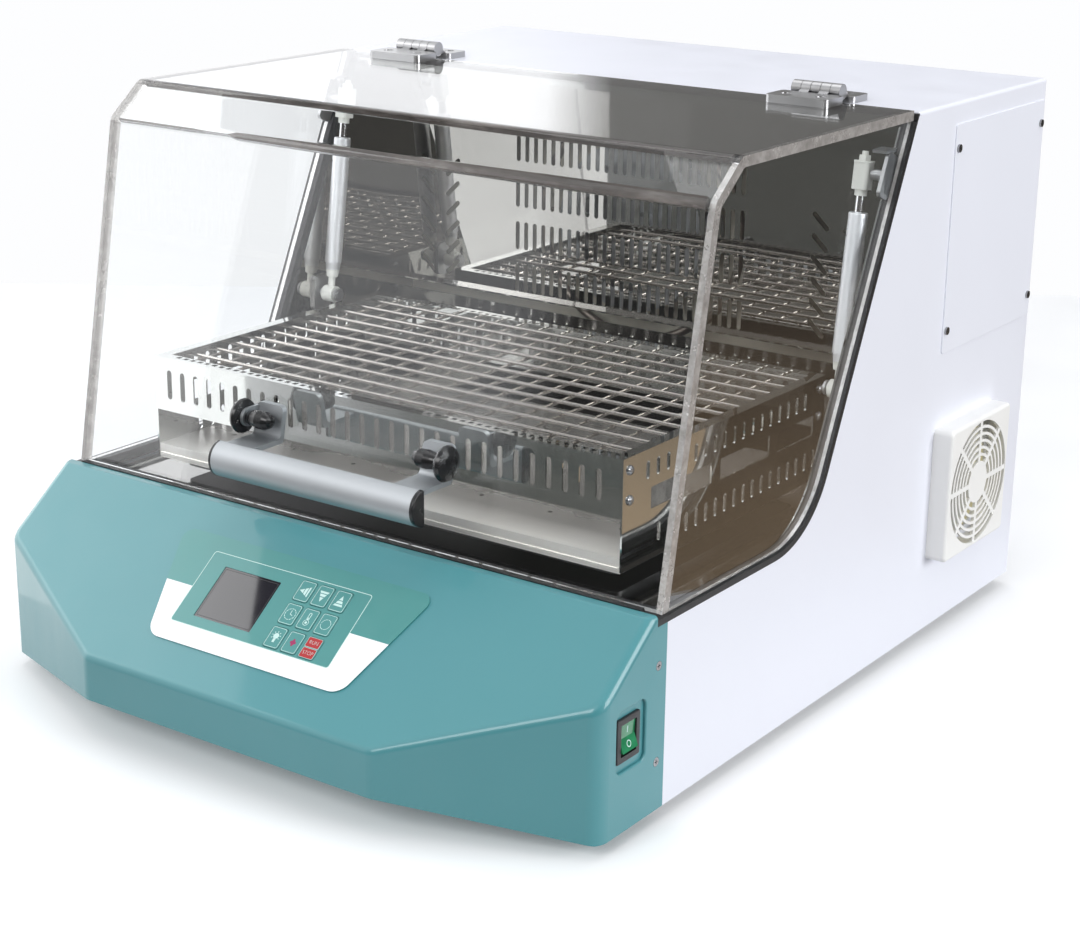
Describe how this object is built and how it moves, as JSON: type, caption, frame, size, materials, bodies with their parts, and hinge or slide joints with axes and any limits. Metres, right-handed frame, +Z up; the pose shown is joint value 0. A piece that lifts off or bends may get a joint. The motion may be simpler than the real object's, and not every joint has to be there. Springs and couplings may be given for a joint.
{
  "type": "incubated benchtop shaker",
  "caption": "Benchtop incubator shaker with hinged clear lid on gas springs, heated chamber, orbiting platform with glassware rack, sloping control panel and side fan.",
  "frame": {"origin": "middle of the footprint on the surface the feet stand on", "axes": "+Z up, front with the control panel towards -Y, +X to the right side with the switch and fan"},
  "size_m": [0.608, 0.749, 0.487],
  "materials": {
    "white_coat": "smooth satin powder coat",
    "zinc_steel": "zinc-plated sheet",
    "insulation": "foam slab on thin sheet",
    "teal_shell": "glossy moulded shell",
    "black_rubber": "matt",
    "mirror_steel": "polished stainless",
    "frame_steel": "satin powder coat",
    "rack_steel": "polished stainless",
    "acrylic": "clear",
    "satin_metal": "satin",
    "knob_metal": "satin",
    "black_plastic": "fine grain",
    "white_plastic": "fine grain",
    "strut_black": "satin black",
    "strut_rod": "polished rod, white plastic end",
    "screw_steel": "zinc plated",
    "overlay_film": "printed film",
    "display_glass": "clear window over display",
    "key_plastic": "printed caps",
    "green_lens": "translucent",
    "board": "solder mask",
    "heater_steel": "heat-tinted sheath",
    "motor_metal": "cast",
    "shaft_steel": "machined",
    "carrier_black": "satin black"
  },
  "bodies": {
    "cabinet": {"base_pan": "zinc_steel", "feet": "black_rubber", "side_panel_left": "white_coat", "side_panel_right": "white_coat", "rear_cover": "white_coat", "access_panel": "white_coat", "case_screws": "screw_steel", "front_panel": "teal_shell", "opening_frame": "frame_steel", "lid_seal": "black_rubber", "chamber_floor": "mirror_steel", "liner_sides": "mirror_steel", "rear_baffle": "mirror_steel", "plenum_back": "insulation", "heater": "heater_steel", "circulation_motor": "motor_metal", "control_board": "board", "power_supply": "zinc_steel", "mains_inlet": "black_plastic", "switch_bezel": "black_plastic", "fan_guard": "white_plastic", "cooling_fan_frame": "black_plastic", "control_overlay": "overlay_film", "display": "display_glass", "strut_mounts_lower": "satin_metal", "hinge_leaves_rear": "satin_metal", "drive_motor": "motor_metal", "drive_frame": "zinc_steel"},
    "lid": {"lid_shell": "acrylic", "lid_sides": "acrylic", "handle_bar": "satin_metal", "handle_caps": "black_plastic", "handle_arms": "satin_metal", "strut_mounts_upper": "satin_metal", "hinge_leaves_front": "satin_metal"},
    "knob_left": {"knob_left": "knob_metal"},
    "knob_right": {"knob_right": "knob_metal"},
    "strut_cylinder_left": {"strut_cylinder_left": "strut_black"},
    "strut_cylinder_right": {"strut_cylinder_right": "strut_black"},
    "strut_rod_left": {"strut_rod_left": "strut_rod"},
    "strut_rod_right": {"strut_rod_right": "strut_rod"},
    "crank": {"main_crank": "shaft_steel"},
    "platform": {"platform_carrier": "carrier_black", "platform_deck": "rack_steel", "rack_frame": "rack_steel", "rack_wires": "rack_steel"},
    "idler_left": {"idler_left": "shaft_steel"},
    "idler_right": {"idler_right": "shaft_steel"},
    "rocker": {"rocker": "green_lens"},
    "cooling_fan_rotor": {"cooling_fan_rotor": "black_plastic"},
    "circulation_rotor": {"circulation_rotor": "motor_metal"},
    "key_left": {"key_left": "key_plastic"},
    "key_down": {"key_down": "key_plastic"},
    "key_up": {"key_up": "key_plastic"},
    "key_timer": {"key_timer": "key_plastic"},
    "key_temperature": {"key_temperature": "key_plastic"},
    "key_speed": {"key_speed": "key_plastic"},
    "key_lamp": {"key_lamp": "key_plastic"},
    "key_mode": {"key_mode": "key_plastic"},
    "key_run_stop": {"key_run_stop": "key_plastic"}
  },
  "joints": [
    {"name": "lid_hinge", "type": "hinge", "parent": "cabinet", "child": "lid", "pos_m": [-0.009, 0.124, 0.4806], "axis": [-1, 0, 0], "range_deg": [0, 60]},
    {"name": "knob_left_turn", "type": "hinge", "parent": "lid", "child": "knob_left", "pos_m": [-0.099, -0.2321, 0.235], "axis": [1, 0, 0], "range_deg": [0, 180]},
    {"name": "strut_left_swing", "type": "hinge", "parent": "cabinet", "child": "strut_cylinder_left", "pos_m": [-0.271, 0.0645, 0.254], "axis": [1, 0, 0], "range_deg": [0, 9.64]},
    {"name": "strut_left_stroke", "type": "slide", "parent": "strut_cylinder_left", "child": "strut_rod_left", "axis": [0, 0.139, 0.9903], "range_m": [0, 0.05716]},
    {"name": "knob_right_turn", "type": "hinge", "parent": "lid", "child": "knob_right", "pos_m": [0.081, -0.2321, 0.235], "axis": [1, 0, 0], "range_deg": [0, 180]},
    {"name": "strut_right_swing", "type": "hinge", "parent": "cabinet", "child": "strut_cylinder_right", "pos_m": [0.253, 0.0645, 0.254], "axis": [1, 0, 0], "range_deg": [0, 9.64]},
    {"name": "strut_right_stroke", "type": "slide", "parent": "strut_cylinder_right", "child": "strut_rod_right", "axis": [0, 0.139, 0.9903], "range_m": [0, 0.05716]},
    {"name": "crank_spin", "type": "hinge", "parent": "cabinet", "child": "crank", "pos_m": [-0.009, -0.0345, 0.136], "axis": [0, 0, 1], "continuous": true},
    {"name": "platform_pin", "type": "hinge", "parent": "crank", "child": "platform", "pos_m": [-0.009, -0.0475, 0.162], "axis": [0, 0, 1], "continuous": true},
    {"name": "idler_left_spin", "type": "hinge", "parent": "cabinet", "child": "idler_left", "pos_m": [-0.169, 0.0255, 0.136], "axis": [0, 0, 1], "continuous": true},
    {"name": "idler_right_spin", "type": "hinge", "parent": "cabinet", "child": "idler_right", "pos_m": [0.151, 0.0255, 0.136], "axis": [0, 0, 1], "continuous": true},
    {"name": "rocker_tilt", "type": "hinge", "parent": "cabinet", "child": "rocker", "pos_m": [0.277, -0.274, 0.083], "axis": [0, 1, 0], "range_deg": [0, 16]},
    {"name": "cooling_fan_spin", "type": "hinge", "parent": "cabinet", "child": "cooling_fan_rotor", "pos_m": [0.2775, 0.2505, 0.136], "axis": [1, 0, 0], "continuous": true},
    {"name": "circulation_spin", "type": "hinge", "parent": "cabinet", "child": "circulation_rotor", "pos_m": [-0.009, 0.1825, 0.332], "axis": [0, 1, 0], "continuous": true},
    {"name": "key_left_press", "type": "slide", "parent": "cabinet", "child": "key_left", "axis": [0, 0.6083, -0.7937], "range_m": [0, 0.0006], "stiffness_N_per_m": 1500},
    {"name": "key_down_press", "type": "slide", "parent": "cabinet", "child": "key_down", "axis": [0, 0.6083, -0.7937], "range_m": [0, 0.0006], "stiffness_N_per_m": 1500},
    {"name": "key_up_press", "type": "slide", "parent": "cabinet", "child": "key_up", "axis": [0, 0.6083, -0.7937], "range_m": [0, 0.0006], "stiffness_N_per_m": 1500},
    {"name": "key_timer_press", "type": "slide", "parent": "cabinet", "child": "key_timer", "axis": [0, 0.6083, -0.7937], "range_m": [0, 0.0006], "stiffness_N_per_m": 1500},
    {"name": "key_temperature_press", "type": "slide", "parent": "cabinet", "child": "key_temperature", "axis": [0, 0.6083, -0.7937], "range_m": [0, 0.0006], "stiffness_N_per_m": 1500},
    {"name": "key_speed_press", "type": "slide", "parent": "cabinet", "child": "key_speed", "axis": [0, 0.6083, -0.7937], "range_m": [0, 0.0006], "stiffness_N_per_m": 1500},
    {"name": "key_lamp_press", "type": "slide", "parent": "cabinet", "child": "key_lamp", "axis": [0, 0.6083, -0.7937], "range_m": [0, 0.0006], "stiffness_N_per_m": 1500},
    {"name": "key_mode_press", "type": "slide", "parent": "cabinet", "child": "key_mode", "axis": [0, 0.6083, -0.7937], "range_m": [0, 0.0006], "stiffness_N_per_m": 1500},
    {"name": "key_run_stop_press", "type": "slide", "parent": "cabinet", "child": "key_run_stop", "axis": [0, 0.6083, -0.7937], "range_m": [0, 0.0006], "stiffness_N_per_m": 1500}
  ],
  "couplings": [
    {"joint": "platform_pin", "follows": "crank_spin", "ratio": -1},
    {"joint": "idler_left_spin", "follows": "crank_spin", "ratio": 1},
    {"joint": "idler_right_spin", "follows": "crank_spin", "ratio": 1},
    {"joint": "strut_left_swing", "follows": "lid_hinge", "ratio": 0.15978},
    {"joint": "strut_left_stroke", "follows": "lid_hinge", "m_per_rad": 0.05439},
    {"joint": "strut_right_swing", "follows": "lid_hinge", "ratio": 0.15978},
    {"joint": "strut_right_stroke", "follows": "lid_hinge", "m_per_rad": 0.05439}
  ]
}
